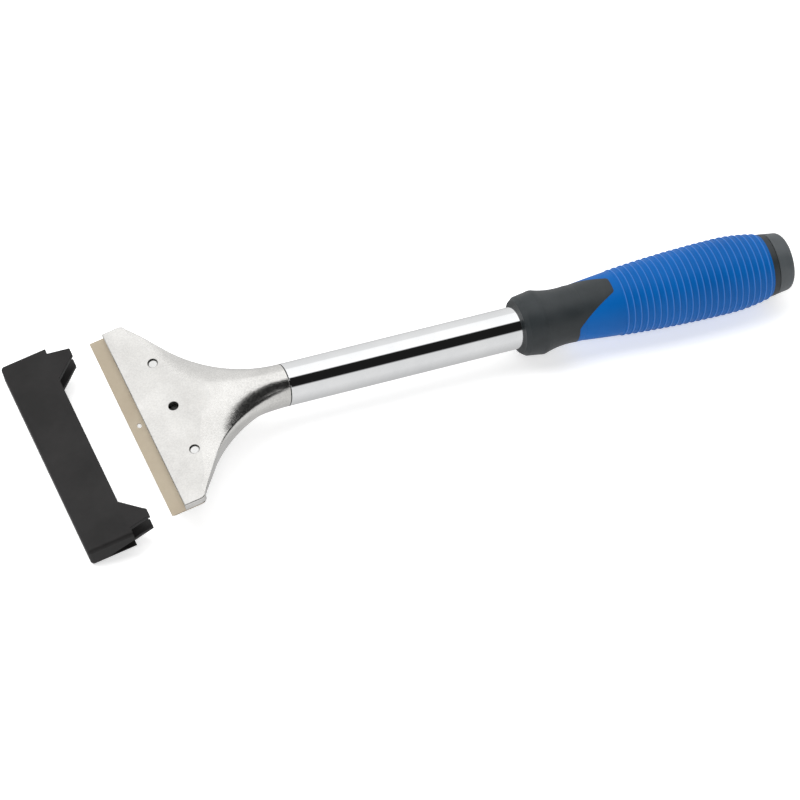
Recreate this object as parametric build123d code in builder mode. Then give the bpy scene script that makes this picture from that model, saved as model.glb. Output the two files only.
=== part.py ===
from build123d import *
import os
from math import cos, pi, radians, sin, sqrt, tan

os.makedirs("parts", exist_ok=True)

# Floor scraper, lying on its back with the blade guard pulled off.
# +X runs from the blade to the grip, +Z is up, and the tool is symmetric about the XZ plane.
# The origin is on the floor, midway between the guard's spine and the end cap.

# ---- driving dimensions, mm and degrees ----
seam_x = -65.5            # where the shaft tube meets the head
axis_height = 19.35       # the tube's axis above the floor at that seam
lie_angle = 0.6           # the handle drops this much towards the grip as the tool lies
head_angle = 16.3         # the blade's plane against the handle's axis

blade_length = 100.0
blade_depth = 15.5
blade_thickness = 0.6
blade_reach = 6.5         # how far the blade stands out of the head
bevel_run = 1.6
edge_land = 0.1
locating_hole = 4.2       # a slot this far behind each edge
slot_length = 2.6
slot_width = 1.8
edge_along = -71.5        # cutting edge, measured along the handle from the seam
edge_up = -4.5            # and across it

plate_thickness = 3.5
slab_rear = 17.0          # the plate's full thickness ends here, behind the cutting edge
corner_half = 50.0
corner_round = 3.0        # the plate's rear corners, in plan
corner_edge_round = 0.7
screw_row = 21.0          # screw holes, behind the cutting edge
screw_pitch = 25.0
hole_radius = 2.3         # threads are modelled at their pitch diameter
thread_radius = 2.24
clamp_thickness = 1.5
clamp_length = 92.0
clamp_front = 6.5
clamp_rear = 28.0
clamp_shoulder = 14.5     # from here the plate narrows with the head's flanks
clamp_rear_half = 28.0
clamp_travel = 0.8        # how far the clamp plate is let down to free a blade
clamp_corner = 2.0
clamp_nose = 1.1          # bevel under the clamp's front edge
hole_play = 0.4           # round the screws where they pass through the clamp
pin_stand = 1.5           # the guide pin above the clamp plate
tip_depth = 0.7           # the screw tips below the flat face
washer_thickness = 0.9
washer_radius = 4.1
washer_play = 0.3
screw_head_radius = 4.25
screw_head_height = 2.8
socket_radius = 2.0
socket_depth = 1.7
edge_break = 0.4          # small chamfers

head_front = -57.0        # the fan's first station from the seam, just inside the plate
head_stations = [head_front, -55, -52, -48, -44, -40, -36, -31, -26, -20, -13, -6, -0.01]
apex_along = -36.0        # here the flat face runs out on top of the neck
sweep_angle = 54.0
sweep_radius = 55.0
rim_height = 4.6          # the fan's side edges, above the axis
rim_drop = 0.4            # and at least this far below the flat face
rim_round_front = 0.8     # rounding of those edges: small at the plate
rim_round_growth = 0.2    # per mm behind it
rim_round_full = 1.9
fan_inset = 1.0           # the fan starts this far inside the plate's ends
crown_rise = 0.06         # the fan's back over the flat face, per mm in front of its apex
flare_run = 19.0          # and rising steeply from here, so that the face reaches the corners
wall_land = 0.25          # half the side wall's height at the seam
belly_start = -46.0
belly_run = 38.0
belly_thin = 1.0
skirt_depth = 3.9         # how far the side walls reach down behind the pocket
skirt_front = -52.0
seam_groove = 0.35
oversize = 140.0          # cutters reach past the head on every side

tube_radius = 9.5
tube_wall = 1.5
tube_length = 205.0
spigot_length = 24.0
spigot_root = 3.0         # the spigot starts this far inside the casting
spigot_lead = 1.0
groove_depth = 0.5
spigot_radius = tube_radius - tube_wall

collar_start = 111.0      # stations along the handle from the seam
grip_start = 136.4
tab_end = 154.8
rib_start = 158.9
rib_end = 228.8
grip_end = 230.8
cap_start = 233.9
cap_end = 242.0
cap_gap = 0.35
cap_radius = 13.9
cap_wall = 3.0
plug_length = 20.0
plug_radius = tube_radius - 0.5
plug_bore = 7.0
core_radius = 11.0
ridge_along = 120.6       # the collar's ridge
ridge_radius = 14.5
collar_mouth_radius = 12.0
ring_radius = 14.3        # the hard ring behind the sleeve
swell_along = 210.4       # the grip is thickest here
swell_radius = 16.8
waist_radius = 12.7
waist_run = 3.0           # straight part of the sleeve behind the collar
collar_neck_along = 127.0  # the collar's hollow behind its ridge
collar_neck_radius = 13.05
collar_rear_radius = 12.75
collar_lip_run = 1.9
collar_lip_drop = 1.1
tab_root_half = 12.2
tab_tip_half = 3.9
tab_tip_round = 1.6
rib_count = 24
rib_height = 0.35

guard_half = 54.0         # half the guard's length
guard_wall = 1.8
guard_depth = 21.2        # spine to mouth in the middle
guard_wing = 31.0         # spine to the tips of the corner wings
guard_off = 40.0          # spine in front of the cutting edge, pulled off
guard_play = 0.25
guard_round = 1.7
wing_outer = 50.5         # the wings, measured from the middle of the guard
wing_inner_root = 35.6
wing_inner_tip = 43.8
end_wedge_start = 8.5     # the end walls taper from here to the mouth
end_wedge_height = 4.4

# ---- directions and planes ----
lie = radians(lie_angle)
tilt = radians(head_angle - lie_angle)
handle_dir = Vector(cos(lie), 0, -sin(lie))
handle_up = Vector(sin(lie), 0, cos(lie))
seam = Vector(seam_x, 0, axis_height)
handle_axis = Axis(seam, handle_dir)
handle_side = Plane(origin=seam, x_dir=handle_dir, z_dir=(0, -1, 0))

plate_dir = Vector(cos(tilt), 0, sin(tilt))
plate_up = Vector(-sin(tilt), 0, cos(tilt))
edge_middle = seam + handle_dir * edge_along + handle_up * edge_up


def station(along):
    """A plane across the handle, its local x to the left and its local y up."""
    return Plane(origin=seam + handle_dir * along, x_dir=(0, 1, 0), z_dir=handle_dir)


def plate_level(up):
    """A plane parallel to the blade: local x runs back from the cutting edge, local y is +Y."""
    return Plane(origin=edge_middle + plate_up * up, x_dir=plate_dir, z_dir=plate_up)


plate_side = Plane(origin=edge_middle, x_dir=plate_dir, z_dir=(0, -1, 0))

# ---- head casting ----
def to_neck(along):
    """0 at the front of the fan, 1 at the seam."""
    return 1 - along / head_front


def between(share, front, neck):
    return front + (neck - front) * share


def outline_half(along):
    """Half the head's width: a straight flank, then an arc that runs out into the neck."""
    arc_start = -sweep_radius * sin(radians(sweep_angle))
    if along > arc_start:
        return tube_radius + sweep_radius - sqrt(sweep_radius ** 2 - along ** 2)
    start_half = tube_radius + sweep_radius * (1 - cos(radians(sweep_angle)))
    return min(corner_half - fan_inset, start_half + (arc_start - along) * tan(radians(sweep_angle)))


def face_line(along):
    """Height of the flat face above the axis."""
    roof = edge_up - blade_thickness + (along - edge_along) * tan(radians(head_angle))
    return roof + (blade_thickness + plate_thickness) / cos(radians(head_angle))


def rim(along):
    """Height at which the fan's back turns over into its side wall."""
    neck_rim = tube_radius * sin(pi / 4)
    return min(face_line(along) - rim_drop, between(to_neck(along) ** 2, rim_height, neck_rim))


def rim_round(along):
    """Width of that turn: small at the plate, an eighth of the tube's circle at the neck."""
    neck_round = tube_radius * (1 - cos(pi / 4))
    grown = rim_round_front + rim_round_growth * (along - head_front)
    return min(grown, between(to_neck(along), rim_round_full, neck_round))


def crown(along):
    """Height of the head's back: level with the tube, and a little proud of the flat face."""
    to_apex = max(0.0, apex_along - along)
    face = tube_radius - to_apex * tan(radians(head_angle))
    return face + crown_rise * to_apex + (to_apex / flare_run) ** 8


def skirt(along):
    """Depth of the side walls' lower edge below the axis."""
    share = min(1.0, along / skirt_front)
    return wall_land + skirt_depth * sin(pi * share ** 2)


def belly(along):
    """Depth of the head's underside below the axis, full at the neck and thin at the plate."""
    share = max(0.0, min(1.0, (along - belly_start) / belly_run))
    return between(sin(share * pi / 2) ** 1.3, belly_thin, tube_radius)


quarter_bulge = tan(pi / 8) / 2       # height of a quarter circle over its chord
eighth_bulge = 0.097                  # and of an eighth


def head_section(along):
    """Closed outline across the head: arched back, rounded rims, side walls and underside."""
    half = outline_half(along)
    share = to_neck(along)
    inner = half - rim_round(along)
    top = rim(along)
    wall_top = between(share, top - rim_round(along), wall_land)
    bulge = between(share, quarter_bulge, eighth_bulge)
    turn_along = (inner + half) / 2 + bulge * (top - wall_top)
    turn_up = (top + wall_top) / 2 + bulge * (half - inner)
    peak = crown(along)
    back_radius = (inner ** 2 + (peak - top) ** 2) / (2 * (peak - top))
    midway = peak - back_radius + sqrt(back_radius ** 2 - inner ** 2 / 4)
    ThreePointArc((-inner, top), (-inner / 2, midway), (0, peak))
    ThreePointArc((0, peak), (inner / 2, midway), (inner, top))
    ThreePointArc((inner, top), (turn_along, turn_up), (half, wall_top))
    Line((half, wall_top), (half, -skirt(along)))
    ThreePointArc((half, -skirt(along)), (0, -belly(along)), (-half, -skirt(along)))
    Line((-half, -skirt(along)), (-half, wall_top))
    ThreePointArc((-half, wall_top), (-turn_along, turn_up), (-inner, top))


def pocket_outline():
    """Underside pocket: full width at the blade, then tapered with the clamp plate."""
    play = 0.6
    for hand in (1, -1):
        Polyline(
            (0, 0),
            (0, hand * oversize / 2),
            (clamp_shoulder, hand * oversize / 2),
            (clamp_shoulder, hand * (clamp_length / 2 + play)),
            (clamp_rear + play, hand * (clamp_rear_half + play)),
            (clamp_rear + play, 0),
        )


with BuildPart() as fan:
    for along in head_stations:
        with BuildSketch(station(along)):
            with BuildLine():
                head_section(along)
            make_face()
    loft()
    # the flat face cuts the fan off level with the blade
    with BuildSketch(plate_level(plate_thickness)):
        with Locations((slab_rear + 10, 0)):
            Rectangle(oversize, oversize)
    extrude(amount=oversize, mode=Mode.SUBTRACT)

with BuildPart() as head_casting:
    with BuildSketch(plate_side):
        with BuildLine():
            Polyline(
                (blade_reach, -blade_thickness),
                (blade_reach, plate_thickness - edge_break),
                (blade_reach + edge_break, plate_thickness),
                (slab_rear, plate_thickness),
                (slab_rear, -blade_thickness),
                close=True,
            )
        make_face()
    extrude(amount=corner_half, both=True)
    ends = head_casting.faces().filter_by(Axis.Y)
    upright_edges = ends.edges().filter_by(Axis(edge_middle, plate_up))
    fillet(upright_edges.group_by(Axis(edge_middle, plate_dir))[-1], corner_round)
    back = head_casting.faces().sort_by(Axis(edge_middle, plate_up))[-1]
    end_edges = back.edges().filter_by(Axis(edge_middle, plate_dir))
    fillet(end_edges + back.edges().filter_by(GeomType.CIRCLE), corner_edge_round)
    add(fan.part)
    # the pocket on the underside for the blade and the clamp plate
    with BuildSketch(plate_level(-blade_thickness)):
        with BuildLine():
            pocket_outline()
        make_face()
    extrude(amount=-oversize, mode=Mode.SUBTRACT)
    with BuildSketch(plate_level(0)):
        Rectangle(blade_depth, oversize, align=(Align.MIN, Align.CENTER))
    extrude(amount=-blade_thickness, mode=Mode.SUBTRACT)
    with BuildSketch(plate_level(plate_thickness)):
        with Locations((screw_row, 0)):
            with GridLocations(1, screw_pitch, 1, 3):
                Circle(hole_radius)
    extrude(amount=-oversize, mode=Mode.SUBTRACT)
    # the spigot that the tube is pressed on
    with BuildSketch(station(-spigot_root)):
        Circle(spigot_radius)
    extrude(amount=spigot_length + spigot_root)
    with BuildSketch(station(-seam_groove)):
        Circle(tube_radius + groove_depth)
        Circle(tube_radius - groove_depth, mode=Mode.SUBTRACT)
    extrude(amount=seam_groove, mode=Mode.SUBTRACT)
    spigot_rim = head_casting.edges().filter_by(GeomType.CIRCLE).sort_by(handle_axis)[-1]
    chamfer(spigot_rim, spigot_lead)
head_casting.part.label = "head_casting"
export_step(head_casting.part, "parts/head_casting.step")

# ---- blade: reversible, with a locating hole near each edge ----
with BuildPart() as blade:
    with BuildSketch(plate_side):
        with BuildLine():
            Polyline(
                (0, 0),
                (0, -edge_land),
                (bevel_run, -blade_thickness),
                (blade_depth - bevel_run, -blade_thickness),
                (blade_depth, -edge_land),
                (blade_depth, 0),
                close=True,
            )
        make_face()
    extrude(amount=blade_length / 2, both=True)
    with BuildSketch(plate_level(-blade_thickness)):
        with Locations((locating_hole, 0), (blade_depth - locating_hole, 0)):
            SlotOverall(slot_length, slot_width, rotation=90)
    extrude(amount=blade_thickness, mode=Mode.SUBTRACT)
blade.part.label = "blade"
export_step(blade.part, "parts/blade.step")

# ---- clamp plate, its guide pin and its screws ----
clamp_top = -blade_thickness
clamp_bottom = clamp_top - clamp_thickness
screw_tip = plate_thickness - tip_depth

with BuildPart() as clamp_plate:
    with BuildSketch(plate_level(clamp_bottom)):
        with BuildLine():
            for hand in (1, -1):
                Polyline(
                    (clamp_front, 0),
                    (clamp_front, hand * clamp_length / 2),
                    (clamp_shoulder, hand * clamp_length / 2),
                    (clamp_rear, hand * clamp_rear_half),
                    (clamp_rear, 0),
                )
        make_face()
        with Locations((screw_row, -screw_pitch), (screw_row, screw_pitch)):
            Circle(thread_radius + hole_play, mode=Mode.SUBTRACT)
        with Locations((screw_row, 0)):
            Circle(thread_radius, mode=Mode.SUBTRACT)
    extrude(amount=clamp_thickness)
    fillet(clamp_plate.edges().filter_by(Axis(edge_middle, plate_up)), clamp_corner)
    front_face = clamp_plate.faces().sort_by(Axis(edge_middle, plate_dir))[0]
    chamfer(front_face.edges().sort_by(Axis(edge_middle, plate_up))[0], clamp_nose)
clamp_plate.part.label = "clamp_plate"
export_step(clamp_plate.part, "parts/clamp_plate.step")

with BuildPart() as guide_pin:
    with BuildSketch(plate_level(clamp_bottom)):
        with Locations((screw_row, 0)):
            Circle(thread_radius)
    extrude(amount=clamp_thickness + pin_stand)
    chamfer(guide_pin.faces().sort_by(Axis(edge_middle, plate_up))[-1].edges(), edge_break)
guide_pin.part.label = "guide_pin"
export_step(guide_pin.part, "parts/guide_pin.step")

for side, across in (("left", screw_pitch), ("right", -screw_pitch)):
    with BuildPart() as washer:
        with BuildSketch(plate_level(clamp_bottom)):
            with Locations((screw_row, across)):
                Circle(washer_radius)
                Circle(thread_radius + washer_play, mode=Mode.SUBTRACT)
        extrude(amount=-washer_thickness)
    washer.part.label = "lock_washer_" + side
    export_step(washer.part, "parts/lock_washer_" + side + ".step")

    with BuildPart() as screw:
        with BuildSketch(plate_level(clamp_bottom - washer_thickness)):
            with Locations((screw_row, across)):
                Circle(screw_head_radius)
        extrude(amount=-screw_head_height)
        chamfer(screw.faces().sort_by(Axis(edge_middle, plate_up))[0].edges(), edge_break)
        with BuildSketch(plate_level(clamp_bottom - washer_thickness - screw_head_height)):
            with Locations((screw_row, across)):
                RegularPolygon(socket_radius, 6)
        extrude(amount=socket_depth, mode=Mode.SUBTRACT)
        with BuildSketch(plate_level(clamp_bottom - washer_thickness)):
            with Locations((screw_row, across)):
                Circle(thread_radius)
        extrude(amount=screw_tip - clamp_bottom + washer_thickness)
        chamfer(screw.faces().sort_by(Axis(edge_middle, plate_up))[-1].edges(), edge_break)
    screw.part.label = "clamp_screw_" + side
    export_step(screw.part, "parts/clamp_screw_" + side + ".step")

# ---- shaft tube ----
with BuildPart() as shaft_tube:
    with BuildSketch(station(0)):
        Circle(tube_radius)
        Circle(spigot_radius, mode=Mode.SUBTRACT)
    extrude(amount=tube_length)
    front_rim = shaft_tube.edges().group_by(handle_axis)[0].sort_by(SortBy.LENGTH)[-1]
    chamfer(front_rim, edge_break / 2)
shaft_tube.part.label = "shaft_tube"
export_step(shaft_tube.part, "parts/shaft_tube.step")

# ---- grip: a hard core with the collar and rear ring, a soft ribbed sleeve, an end cap ----
front_drop = swell_radius - waist_radius
front_run = swell_along - grip_start - waist_run
front_arc = (front_run ** 2 + front_drop ** 2) / (2 * front_drop)
rear_drop = swell_radius - ring_radius
rear_run = grip_end - swell_along
rear_arc = (rear_run ** 2 + rear_drop ** 2) / (2 * rear_drop)


def grip_radius(along):
    """Radius of the sleeve: one long arc up to the swell and a shorter one down behind it."""
    arc = front_arc if along < swell_along else rear_arc
    return swell_radius - arc + sqrt(arc ** 2 - (along - swell_along) ** 2)


def on_grip(along):
    return (along, grip_radius(along))


def sleeve_outline():
    """Closed outline of the soft layer, above the hard core."""
    waist_along = swell_along - front_run
    ThreePointArc(on_grip(waist_along), on_grip((waist_along + swell_along) / 2), on_grip(swell_along))
    ThreePointArc(on_grip(swell_along), on_grip((swell_along + grip_end) / 2), on_grip(grip_end))
    Polyline(
        on_grip(grip_end),
        (grip_end, core_radius),
        (grip_start, core_radius),
        (grip_start, collar_rear_radius),
        on_grip(waist_along),
    )


def tab_outline():
    """The collar's tongue, seen from above: wide at the collar and narrow at its tip."""
    Polyline(
        (grip_start - 0.01, -tab_root_half),
        (tab_end, -tab_tip_half),
        (tab_end, tab_tip_half),
        (grip_start - 0.01, tab_root_half),
        close=True,
    )


handle_top = Plane(origin=seam, x_dir=handle_dir, z_dir=handle_up)

with BuildPart() as grip_sleeve:
    with BuildSketch(handle_side):
        with BuildLine():
            sleeve_outline()
        make_face()
        for index in range(rib_count):
            along = rib_start + index * (rib_end - rib_start) / (rib_count - 1)
            with Locations((along, grip_radius(along) - rib_height)):
                Circle(2 * rib_height)
    revolve(axis=handle_axis)
    with BuildSketch(handle_top) as tongue:
        with BuildLine():
            tab_outline()
        make_face()
        fillet(tongue.vertices().sort_by(Axis.X)[-2:], tab_tip_round)
    extrude(amount=2 * core_radius, mode=Mode.SUBTRACT)
grip_sleeve.part.label = "grip_sleeve"
export_step(grip_sleeve.part, "parts/grip_sleeve.step")

with BuildPart() as tab:
    with BuildSketch(handle_side):
        with BuildLine():
            sleeve_outline()
        make_face()
    revolve(axis=handle_axis)
    with BuildSketch(handle_top) as tongue:
        with BuildLine():
            tab_outline()
        make_face()
        fillet(tongue.vertices().sort_by(Axis.X)[-2:], tab_tip_round)
    extrude(amount=2 * core_radius, mode=Mode.INTERSECT)

ridge_front = (ridge_along - 1.5, ridge_radius - 0.2)
ridge_rear = (ridge_along + 1.3, ridge_radius - 0.3)
collar_rear = (grip_start, collar_rear_radius)
with BuildPart() as grip_core:
    with BuildSketch(handle_side):
        with BuildLine():
            Polyline(
                (collar_start, tube_radius),
                (collar_start, collar_mouth_radius),
                (collar_start + collar_lip_run, ridge_radius - collar_lip_drop),
                ridge_front,
            )
            ThreePointArc(ridge_front, (ridge_along, ridge_radius), ridge_rear)
            ThreePointArc(ridge_rear, (collar_neck_along, collar_neck_radius), collar_rear)
            Polyline(
                collar_rear,
                (grip_start, core_radius),
                (grip_end, core_radius),
                (grip_end, ring_radius),
                (cap_start - cap_gap, ring_radius - 0.3),
                (cap_start - cap_gap, tube_radius),
                (collar_start, tube_radius),
            )
        make_face()
    revolve(axis=handle_axis)
    add(tab.part)
grip_core.part.label = "grip_core"
export_step(grip_core.part, "parts/grip_core.step")

plug_start = cap_start - plug_length
cap_floor = cap_end - cap_wall
cap_rim = (cap_end - 2.4, cap_radius - 0.8)
with BuildPart() as end_cap:
    with BuildSketch(handle_side):
        with BuildLine():
            Polyline(
                (cap_floor, 0),
                (cap_floor, plug_bore),
                (plug_start + 2, plug_bore),
                (plug_start, plug_radius),
                (cap_start, plug_radius),
                (cap_start, cap_radius),
                cap_rim,
            )
            ThreePointArc(cap_rim, (cap_end - 0.7, cap_radius - 1.9), (cap_end, cap_radius - 3.5))
            Polyline((cap_end, cap_radius - 3.5), (cap_end, 0), (cap_floor, 0))
        make_face()
    revolve(axis=handle_axis)
end_cap.part.label = "end_cap"
export_step(end_cap.part, "parts/end_cap.step")

# ---- blade guard: a channel open towards the tool, with a spring wing at each corner ----
guard_top = plate_thickness + guard_play + guard_wall
guard_bottom = clamp_bottom - clamp_travel - guard_play - guard_wall
guard_height = guard_top - guard_bottom
guard_middle = edge_middle - plate_dir * guard_off


def guard_outline():
    """The guard's wall, seen from above, with local x = 0 at the outside of its spine."""
    for hand in (1, -1):
        Polyline(
            (0, 0),
            (0, hand * guard_half),
            (guard_depth, hand * guard_half),
            (guard_depth, hand * wing_outer),
            (guard_wing, hand * (wing_outer - 2.0)),
            (guard_wing, hand * (wing_inner_tip + 1)),
            (guard_wing - 1.2, hand * wing_inner_tip),
            (guard_depth, hand * wing_inner_root),
            (guard_depth, 0),
        )


def guard_level(up):
    """A plane parallel to the blade, with its local x from the outside of the guard's spine."""
    return Plane(origin=guard_middle + plate_up * up, x_dir=plate_dir, z_dir=plate_up)


guard_side = Plane(origin=guard_middle, x_dir=plate_dir, z_dir=(0, -1, 0))

with BuildPart() as blade_guard:
    with BuildSketch(guard_level(guard_bottom)):
        with BuildLine():
            guard_outline()
        make_face()
    extrude(amount=guard_height)
    spine_face = blade_guard.faces().sort_by(Axis(edge_middle, plate_dir))[0]
    end_faces = blade_guard.faces().filter_by(Axis.Y).group_by(SortBy.AREA)[-1]
    end_rims = end_faces.edges().group_by(Axis(edge_middle, plate_up))
    long_rims = [edge for edge in end_rims[0] + end_rims[-1] if edge not in spine_face.edges()]
    fillet(spine_face.edges() + long_rims, guard_round)
    # the slot that takes the blade and the head's edge
    with BuildSketch(guard_level(guard_bottom + guard_wall)):
        with Locations((guard_wall, 0)):
            Rectangle(oversize, 2 * (guard_half - guard_wall), align=(Align.MIN, Align.CENTER))
    extrude(amount=guard_height - 2 * guard_wall, mode=Mode.SUBTRACT)
    # each end wall tapers towards the mouth
    with BuildSketch(guard_side):
        with BuildLine():
            Polyline(
                (end_wedge_start, guard_bottom + guard_wall),
                (guard_depth + 1, guard_bottom + guard_wall),
                (guard_depth + 1, guard_bottom + guard_wall + end_wedge_height),
                close=True,
            )
        make_face()
    extrude(amount=guard_half + 2, both=True, mode=Mode.SUBTRACT)
blade_guard.part.label = "blade_guard"
export_step(blade_guard.part, "parts/blade_guard.step")
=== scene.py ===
from math import cos, pi, radians, sin

import bpy
from mathutils import Matrix, Vector


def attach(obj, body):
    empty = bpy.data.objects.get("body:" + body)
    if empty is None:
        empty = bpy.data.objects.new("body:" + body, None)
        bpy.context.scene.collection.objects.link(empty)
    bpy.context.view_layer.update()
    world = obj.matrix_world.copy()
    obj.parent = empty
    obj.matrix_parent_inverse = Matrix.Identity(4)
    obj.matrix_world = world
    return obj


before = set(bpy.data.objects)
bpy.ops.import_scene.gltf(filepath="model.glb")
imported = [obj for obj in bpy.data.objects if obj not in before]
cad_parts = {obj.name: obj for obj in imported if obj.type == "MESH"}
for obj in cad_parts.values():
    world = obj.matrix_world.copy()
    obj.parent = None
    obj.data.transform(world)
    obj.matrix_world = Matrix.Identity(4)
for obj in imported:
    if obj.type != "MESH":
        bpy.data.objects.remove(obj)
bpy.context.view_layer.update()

# ---- directions of the tool in the frame, metres ----
MM = 0.001
LIE = radians(0.6)                # the handle drops this much towards the grip
PLATE_TILT = radians(15.7)        # the blade's plane climbs this much towards the handle
HANDLE_DIR = Vector((cos(LIE), 0, -sin(LIE)))
HANDLE_UP = Vector((sin(LIE), 0, cos(LIE)))
PLATE_DIR = Vector((cos(PLATE_TILT), 0, sin(PLATE_TILT)))
PLATE_UP = Vector((-sin(PLATE_TILT), 0, cos(PLATE_TILT)))

SEAM = Vector((-65.5, 0, 19.35)) * MM      # where the tube's axis meets the head
RIB_FIRST = 158.9 * MM                     # the grip's first rib, from the seam
RIB_PITCH = 69.9 / 23 * MM
RIB_LEAD = 20.5                            # pitches counted from this far in front of the first rib
EDGE = SEAM - HANDLE_DIR * 71.5 * MM - HANDLE_UP * 4.5 * MM      # middle of the cutting edge
SCREW_ROW = 21 * MM                        # screw holes, behind the cutting edge
SCREW_PITCH = 25 * MM
SCREW_TIP = 2.85 * MM                      # the screws' ends, above the blade's plane
THREAD_RADIUS = 2.27 * MM
THREAD_SHOWN = 0.6 * MM
JOINT_WIDTH = 0.33 * MM
NECK_JOINT = 0.34 * MM                     # in front of the seam
NECK_JOINT_RADIUS = 9.46 * MM
CAP_JOINT = 233.56 * MM                    # behind the seam
CAP_JOINT_RADIUS = 13.6 * MM


# ---- shader helpers ----
class Shader:
    """A material's node tree, with short calls for the nodes that these finishes use."""

    def __init__(self, name):
        self.material = bpy.data.materials.new(name)
        self.material.use_nodes = True
        self.tree = self.material.node_tree
        self.surface = self.tree.nodes["Principled BSDF"]
        self.place = self.tree.nodes.new("ShaderNodeTexCoord").outputs["Object"]

    def link(self, source, target):
        self.tree.links.new(source, target)

    def stretched(self, along, across):
        """Object coordinates squeezed along the handle, for brushed and drawn finishes."""
        mapping = self.tree.nodes.new("ShaderNodeMapping")
        mapping.inputs["Scale"].default_value = (along, across, across)
        self.link(self.place, mapping.inputs["Vector"])
        return mapping.outputs["Vector"]

    def noise(self, scale, detail=3.0, roughness=0.5, place=None):
        node = self.tree.nodes.new("ShaderNodeTexNoise")
        node.inputs["Scale"].default_value = scale
        node.inputs["Detail"].default_value = detail
        node.inputs["Roughness"].default_value = roughness
        self.link(place or self.place, node.inputs["Vector"])
        return node.outputs["Fac"]

    def ramp(self, value, low, high, dark, light):
        """Colours from dark to light as value goes from low to high."""
        node = self.tree.nodes.new("ShaderNodeValToRGB")
        node.color_ramp.elements[0].position = low
        node.color_ramp.elements[0].color = (*dark, 1)
        node.color_ramp.elements[1].position = high
        node.color_ramp.elements[1].color = (*light, 1)
        self.link(value, node.inputs["Fac"])
        return node.outputs["Color"]

    def spread(self, value, low, high, out_low, out_high):
        """A number from out_low to out_high as value goes from low to high."""
        node = self.tree.nodes.new("ShaderNodeMapRange")
        node.inputs["From Min"].default_value = low
        node.inputs["From Max"].default_value = high
        node.inputs["To Min"].default_value = out_low
        node.inputs["To Max"].default_value = out_high
        self.link(value, node.inputs["Value"])
        return node.outputs["Result"]

    def math(self, operation, first, second):
        """first and second joined by a maths operation; second may be a plain number."""
        node = self.tree.nodes.new("ShaderNodeMath")
        node.operation = operation
        self.link(first, node.inputs[0])
        if isinstance(second, (int, float)):
            node.inputs[1].default_value = second
        else:
            self.link(second, node.inputs[1])
        return node.outputs["Value"]

    def sum(self, first, second):
        return self.math("ADD", first, second)

    def dot(self, vector, direction):
        node = self.tree.nodes.new("ShaderNodeVectorMath")
        node.operation = "DOT_PRODUCT"
        node.inputs[1].default_value = direction
        self.link(vector, node.inputs[0])
        return node.outputs["Value"]

    def facing(self, direction, low, high):
        """1 where the surface faces direction, 0 where it turns away."""
        geometry = self.tree.nodes.new("ShaderNodeNewGeometry")
        return self.spread(self.dot(geometry.outputs["True Normal"], direction), low, high, 0.0, 1.0)

    def blend(self, share, first, second):
        """The colour first, turning into the plain colour second as share goes from 0 to 1."""
        node = self.tree.nodes.new("ShaderNodeMix")
        node.data_type = "RGBA"
        colours = [socket for socket in node.inputs if socket.type == "RGBA"]
        self.link(share, node.inputs["Factor"])
        self.link(first, colours[0])
        colours[1].default_value = (*second, 1)
        return next(socket for socket in node.outputs if socket.type == "RGBA")

    def soften(self, radius):
        """Rounds the look of sharp edges by radius."""
        node = self.tree.nodes.new("ShaderNodeBevel")
        node.samples = 6
        node.inputs["Radius"].default_value = radius
        return node.outputs["Normal"]

    def bump(self, height, strength, distance, normal=None):
        node = self.tree.nodes.new("ShaderNodeBump")
        node.inputs["Strength"].default_value = strength
        node.inputs["Distance"].default_value = distance
        self.link(height, node.inputs["Height"])
        if normal:
            self.link(normal, node.inputs["Normal"])
        self.link(node.outputs["Normal"], self.surface.inputs["Normal"])

    def colour(self, source):
        self.link(source, self.surface.inputs["Base Color"])

    def roughness(self, source):
        self.link(source, self.surface.inputs["Roughness"])

    def set(self, **values):
        for name, value in values.items():
            self.surface.inputs[name.replace("_", " ")].default_value = value


def cast_aluminium():
    """Tumbled die casting: grainy on the flat face, brighter and smoother on the rounded flanks."""
    s = Shader("cast_aluminium")
    s.set(Metallic=1.0)
    cloud = s.spread(s.noise(60, 4, 0.6), 0.3, 0.75, 0.0, 0.6)
    speckle = s.spread(s.noise(1300, 3, 0.7), 0.35, 0.65, 0.0, 0.4)
    tone = s.sum(cloud, speckle)
    s.colour(s.ramp(tone, 0.0, 1.0, (0.66, 0.65, 0.63), (0.90, 0.89, 0.865)))
    flat = s.facing(PLATE_UP, 0.985, 0.997)
    face_roughness = s.spread(flat, 0, 1, 0.20, 0.36)
    wear = s.spread(s.noise(900, 2), 0.3, 0.7, -0.03, 0.05)
    s.roughness(s.sum(face_roughness, wear))
    grain = s.sum(s.noise(2600, 2, 0.6), s.spread(s.noise(420, 2), 0.3, 0.7, 0, 0.8))
    s.bump(grain, 0.16, 0.00012, s.soften(0.0005))
    return s.material


def chrome():
    """Bright plating with faint wiping marks along the tube."""
    s = Shader("chrome")
    s.set(Metallic=1.0)
    smudge = s.noise(38, 4, 0.65)
    s.colour(s.ramp(smudge, 0.35, 0.75, (0.84, 0.85, 0.86), (0.93, 0.935, 0.94)))
    wipes = s.noise(1400, 2, 0.6, s.stretched(0.05, 1.0))
    haze = s.spread(smudge, 0.35, 0.8, 0.035, 0.085)
    s.roughness(s.sum(haze, s.spread(wipes, 0.5, 0.8, 0.0, 0.03)))
    s.bump(wipes, 0.02, 0.00003)
    return s.material


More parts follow.
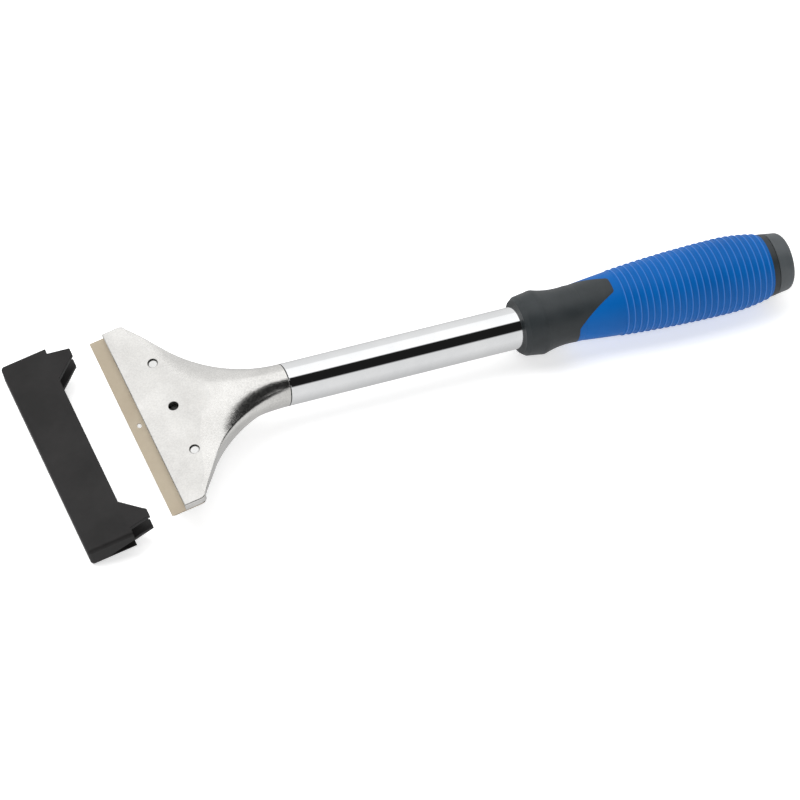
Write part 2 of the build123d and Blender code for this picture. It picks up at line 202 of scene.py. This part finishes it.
def blade_steel():
    """Lacquered carbon steel, ground across its length."""
    s = Shader("blade_steel")
    s.set(Metallic=0.85)
    tint = s.noise(45, 5, 0.6)
    s.colour(s.ramp(tint, 0.3, 0.75, (0.43, 0.365, 0.275), (0.53, 0.465, 0.36)))
    grind = s.noise(2200, 2, 0.5, s.stretched(0.06, 1.0))
    lacquer = s.spread(tint, 0.3, 0.8, 0.30, 0.42)
    s.roughness(s.sum(lacquer, s.spread(grind, 0.4, 0.7, 0.0, 0.08)))
    s.bump(grind, 0.08, 0.00004, s.soften(0.00008))
    return s.material


def plated_steel(name, dark, light, rough):
    """Pressed or turned steel, zinc plated."""
    s = Shader(name)
    s.set(Metallic=1.0)
    patch = s.noise(140, 4, 0.6)
    s.colour(s.ramp(patch, 0.3, 0.75, dark, light))
    s.roughness(s.spread(s.noise(700, 3), 0.3, 0.75, rough, rough + 0.14))
    s.bump(s.noise(3200, 2), 0.08, 0.00005, s.soften(0.00025))
    return s.material


def moulded_plastic(name, dark, light, rough, sheen, edge):
    """Hard plastic with a fine spark-eroded grain and slightly rubbed patches."""
    s = Shader(name)
    s.set(IOR=1.47, Specular_IOR_Level=sheen)
    patch = s.noise(55, 5, 0.6)
    s.colour(s.ramp(patch, 0.35, 0.75, dark, light))
    rub = s.spread(s.noise(260, 3, 0.6), 0.4, 0.7, 0.0, 0.05)
    s.roughness(s.sum(s.spread(patch, 0.3, 0.8, rough, rough + 0.10), rub))
    s.bump(s.noise(3800, 2, 0.6), 0.09, 0.00008, s.soften(edge))
    return s.material


def rib_crest_highlights(s):
    """Mask of the painted highlight that makes each rib's crest paler blue: up to 0.65 on the crest
    and 0 between them.
    """
    along = s.math("SUBTRACT", s.dot(s.place, HANDLE_DIR), SEAM.dot(HANDLE_DIR) + RIB_FIRST)
    ribs = s.math("DIVIDE", s.math("ADD", along, RIB_LEAD * RIB_PITCH), RIB_PITCH)
    from_crest = s.math("ABSOLUTE", s.math("SUBTRACT", s.math("FRACT", ribs, 0), 0.5), 0)
    crest = s.spread(from_crest, 0.035, 0.10, 0.65, 0.0)
    return s.math("MULTIPLY", crest, s.math("GREATER_THAN", along, -RIB_PITCH / 2))


def soft_grip():
    """Soft blue overmould: satin, with a fine matt grain, handling marks and painted highlights along
    the rib crests.
    """
    s = Shader("soft_grip")
    s.set(IOR=1.46, Specular_IOR_Level=0.16)
    blue = s.ramp(s.noise(40, 5, 0.6), 0.3, 0.75, (0.0, 0.082, 0.31), (0.001, 0.102, 0.37))
    # Painted highlight: the rib crests are blended towards a paler blue.
    s.colour(s.blend(rib_crest_highlights(s), blue, (0.075, 0.20, 0.55)))
    s.roughness(s.spread(s.noise(200, 4, 0.6), 0.3, 0.75, 0.40, 0.52))
    s.bump(s.noise(4200, 2, 0.6), 0.07, 0.00008, s.soften(0.0002))
    return s.material


def pale_floor():
    """Seamless white studio sweep with a barely visible tooth; it glows as well, a painted fill light
    that pales the shadows on it and lights the tool from below.
    """
    s = Shader("pale_floor")
    s.colour(s.ramp(s.noise(6, 4), 0.3, 0.8, (0.86, 0.86, 0.86), (0.90, 0.90, 0.90)))
    s.roughness(s.spread(s.noise(30, 3), 0.3, 0.8, 0.78, 0.92))
    # Painted light: the floor glows, which lifts its shadows and lights the tool from below.
    s.set(Emission_Color=(1, 1, 1, 1), Emission_Strength=0.45)
    return s.material


# ---- finishes on the CAD nodes ----
plated = plated_steel("plated_steel", (0.50, 0.50, 0.49), (0.68, 0.68, 0.66), 0.26)
bright = plated_steel("screw_steel", (0.70, 0.70, 0.69), (0.88, 0.88, 0.87), 0.18)
# The guide pin is coloured near black.
dark_pin = plated_steel("near_black_pin", (0.05, 0.05, 0.05), (0.12, 0.12, 0.115), 0.40)
black_grip = moulded_plastic(
    "black_grip", (0.016, 0.020, 0.022), (0.028, 0.033, 0.036), rough=0.42, sheen=0.5, edge=0.0003
)
cap_plastic = moulded_plastic(
    "cap_plastic", (0.050, 0.058, 0.063), (0.075, 0.084, 0.090), rough=0.38, sheen=0.5, edge=0.0003
)
# Near-black plastic for the painted shade bands in the grooves and holes.
groove_shade_black = moulded_plastic(
    "groove_shade_black", (0.002, 0.002, 0.002), (0.006, 0.006, 0.006), rough=0.6, sheen=0.1, edge=0.0001
)
guard_plastic = moulded_plastic(
    "guard_plastic", (0.009, 0.0085, 0.0085), (0.018, 0.017, 0.017), rough=0.42, sheen=0.3, edge=0.0005
)

finishes = {
    "head_casting": cast_aluminium(),
    "blade": blade_steel(),
    "clamp_plate": plated,
    "guide_pin": dark_pin,
    "lock_washer_left": plated,
    "lock_washer_right": plated,
    "clamp_screw_left": bright,
    "clamp_screw_right": bright,
    "shaft_tube": chrome(),
    "grip_core": black_grip,
    "grip_sleeve": soft_grip(),
    "end_cap": cap_plastic,
    "blade_guard": guard_plastic,
}
for node, finish in finishes.items():
    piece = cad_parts[node]
    piece.data.materials.clear()
    piece.data.materials.append(finish)


# ---- pieces ----
BAND_SIDES = 96


def mesh_object(name, points, faces):
    mesh = bpy.data.meshes.new(name)
    mesh.from_pydata(points, [], faces)
    obj = bpy.data.objects.new(name, mesh)
    bpy.context.scene.collection.objects.link(obj)
    return obj


def painted_shade_band(name, centre, axis, width, radius):
    """Painted shade: a dark band on the wall of a groove or a hole, starting at centre and running
    along axis.
    """
    across = Vector((0, 1, 0))
    upright = axis.cross(across)
    points, faces = [], []
    for index in range(BAND_SIDES):
        angle = 2 * pi * index / BAND_SIDES
        outward = across * cos(angle) + upright * sin(angle)
        points.append(centre + outward * radius)
        points.append(centre + axis * width + outward * radius)
        follow = (index + 1) % BAND_SIDES
        faces.append((2 * index, 2 * follow, 2 * follow + 1, 2 * index + 1))
    band = mesh_object(name, points, faces)
    band.data.materials.append(groove_shade_black)
    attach(band, "head")


def add_shade_bands():
    """Painted shade in the joint grooves round the handle, and on the threads of the screw holes above
    the clamp screws' tips.
    """
    neck_joint = SEAM - HANDLE_DIR * NECK_JOINT
    cap_joint = SEAM + HANDLE_DIR * CAP_JOINT
    painted_shade_band("head_seam_shade", neck_joint, HANDLE_DIR, JOINT_WIDTH, NECK_JOINT_RADIUS)
    painted_shade_band("cap_seam_shade", cap_joint, HANDLE_DIR, JOINT_WIDTH, CAP_JOINT_RADIUS)
    for side, across in (("left", SCREW_PITCH), ("right", -SCREW_PITCH)):
        tip = EDGE + PLATE_DIR * SCREW_ROW + PLATE_UP * SCREW_TIP + Vector((0, across, 0))
        painted_shade_band("thread_shade_" + side, tip, PLATE_UP, THREAD_SHOWN, THREAD_RADIUS)


add_shade_bands()


# ---- studio ----
def lay_floor():
    reach = 3.0
    below = -0.2 * MM
    corners = [(x * reach, y * reach, below) for x, y in ((-1, -1), (1, -1), (1, 1), (-1, 1))]
    floor = mesh_object("floor", corners, [(0, 1, 2, 3)])
    floor.data.materials.append(pale_floor())
    floor.visible_glossy = False


CAMERA_AZIMUTH = radians(-29.6)
CAMERA_ELEVATION = radians(50.65)
CAMERA_ROLL = radians(9.26)
CAMERA_DISTANCE = 3.364
CAMERA_TARGET = Vector((-0.0204, -0.0241, 0.02045))
CAMERA_LENS = 347


def camera_axes():
    """Right, up and backward directions of the camera."""
    back = Vector((
        sin(CAMERA_AZIMUTH) * cos(CAMERA_ELEVATION),
        -cos(CAMERA_AZIMUTH) * cos(CAMERA_ELEVATION),
        sin(CAMERA_ELEVATION),
    ))
    level = Vector((cos(CAMERA_AZIMUTH), sin(CAMERA_AZIMUTH), 0))
    upright = back.cross(level)
    right = level * cos(CAMERA_ROLL) + upright * sin(CAMERA_ROLL)
    return right, back.cross(right), back


def place_camera():
    right, up, back = camera_axes()
    data = bpy.data.cameras.new("camera")
    data.lens = CAMERA_LENS
    data.sensor_width = 36
    data.clip_end = 20
    camera = bpy.data.objects.new("camera", data)
    bpy.context.scene.collection.objects.link(camera)
    place = CAMERA_TARGET + back * CAMERA_DISTANCE
    camera.matrix_world = Matrix.Translation(place) @ Matrix((right, up, back)).transposed().to_4x4()
    bpy.context.scene.camera = camera


def light_world():
    """A white tent with a dark gap where the camera looks in, running along the handle."""
    world = bpy.data.worlds.new("tent")
    bpy.context.scene.world = world
    world.use_nodes = True
    tree = world.node_tree
    nodes, links = tree.nodes, tree.links
    background = nodes["Background"]
    place = nodes.new("ShaderNodeTexCoord")
    towards_camera = camera_axes()[2]
    front = (towards_camera - HANDLE_DIR * towards_camera.dot(HANDLE_DIR)).normalized()
    above = front.cross(HANDLE_DIR)

    def along(direction):
        node = nodes.new("ShaderNodeVectorMath")
        node.operation = "DOT_PRODUCT"
        node.inputs[1].default_value = direction
        links.new(place.outputs["Generated"], node.inputs[0])
        return node.outputs["Value"]

    turn = nodes.new("ShaderNodeMath")
    turn.operation = "ARCTAN2"
    links.new(along(above), turn.inputs[0])
    links.new(along(front), turn.inputs[1])
    share = nodes.new("ShaderNodeMapRange")
    share.inputs["From Min"].default_value = -pi
    share.inputs["From Max"].default_value = pi
    links.new(turn.outputs["Value"], share.inputs["Value"])
    bands = nodes.new("ShaderNodeValToRGB")
    bands.color_ramp.interpolation = "LINEAR"
    steps = [
        (-180, 0.50), (-120, 0.62), (-70, 0.80), (-27, 0.78), (-20, 0.012), (26, 0.012),
        (30, 1.15), (80, 1.12), (88, 0.86), (130, 0.80), (180, 0.50),
    ]
    ramp = bands.color_ramp.elements
    while len(ramp) < len(steps):
        ramp.new(0.5)
    for element, (degrees_round, level) in zip(ramp, steps):
        element.position = (degrees_round + 180) / 360
        element.color = (level, level, level, 1)
    links.new(share.outputs["Result"], bands.inputs["Fac"])
    links.new(bands.outputs["Color"], background.inputs["Color"])
    background.inputs["Strength"].default_value = 1.0


def add_softbox(name, direction, distance, size, power):
    """A lamp that lights matt surfaces only; the tent alone shows in the bright metal."""
    data = bpy.data.lights.new(name, "AREA")
    data.shape = "RECTANGLE"
    data.size = size[0]
    data.size_y = size[1]
    data.energy = power
    lamp = bpy.data.objects.new(name, data)
    bpy.context.scene.collection.objects.link(lamp)
    lamp.visible_glossy = False
    lamp.location = direction.normalized() * distance
    lamp.rotation_euler = direction.to_track_quat("Z", "Y").to_euler()


lay_floor()
place_camera()
light_world()
add_softbox("key", Vector((-0.5, 0.35, 1.0)), 1.6, (1.2, 0.8), 16)
add_softbox("front", Vector((-0.3, -0.8, 0.9)), 1.8, (1.2, 1.2), 12)

bpy.context.scene.view_settings.view_transform = "Standard"
bpy.context.scene.view_settings.exposure = 0.0
